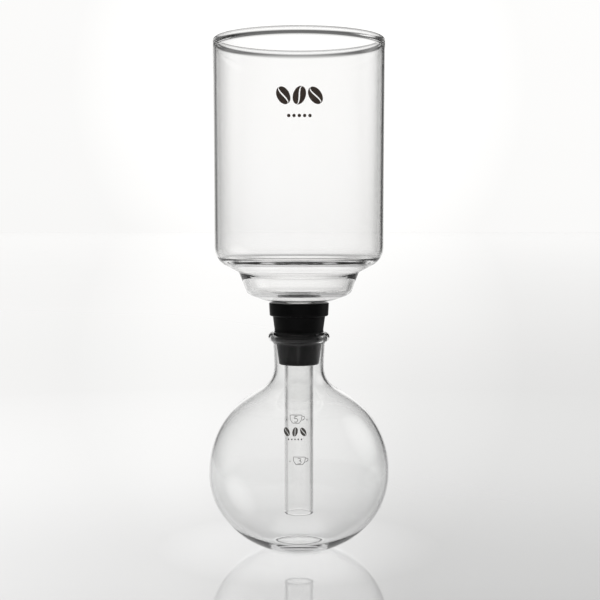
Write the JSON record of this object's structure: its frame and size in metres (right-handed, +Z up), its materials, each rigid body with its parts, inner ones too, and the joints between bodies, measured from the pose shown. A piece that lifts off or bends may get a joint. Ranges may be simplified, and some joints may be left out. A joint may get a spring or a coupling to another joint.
{
  "type": "siphon coffee maker glass set",
  "caption": "Siphon coffee maker glassware: round flask, tapered rubber stopper and stepped cylindrical upper chamber with siphon tube.",
  "frame": {"origin": "centre of the flask's flat base, on the surface it stands on", "axes": "+Z up along the axis that every piece is turned about; -Y is the front, where the cup marks are printed; +X to the right seen from the front"},
  "size_m": [0.1068, 0.1068, 0.3003],
  "materials": {
    "flask_glass": "clear polished borosilicate",
    "chamber_glass": "clear polished borosilicate",
    "black_rubber": "satin moulded"
  },
  "bodies": {
    "flask": {"lower_flask": "flask_glass"},
    "stopper": {"rubber_stopper": "black_rubber"},
    "chamber": {"upper_chamber": "chamber_glass"}
  },
  "joints": [
    {"name": "stopper_lift", "type": "slide", "parent": "flask", "child": "stopper", "axis": [0, 0, 1], "range_m": [0, 0.115]},
    {"name": "chamber_draw", "type": "slide", "parent": "stopper", "child": "chamber", "axis": [0, 0, 1], "range_m": [0, 0.13]}
  ]
}
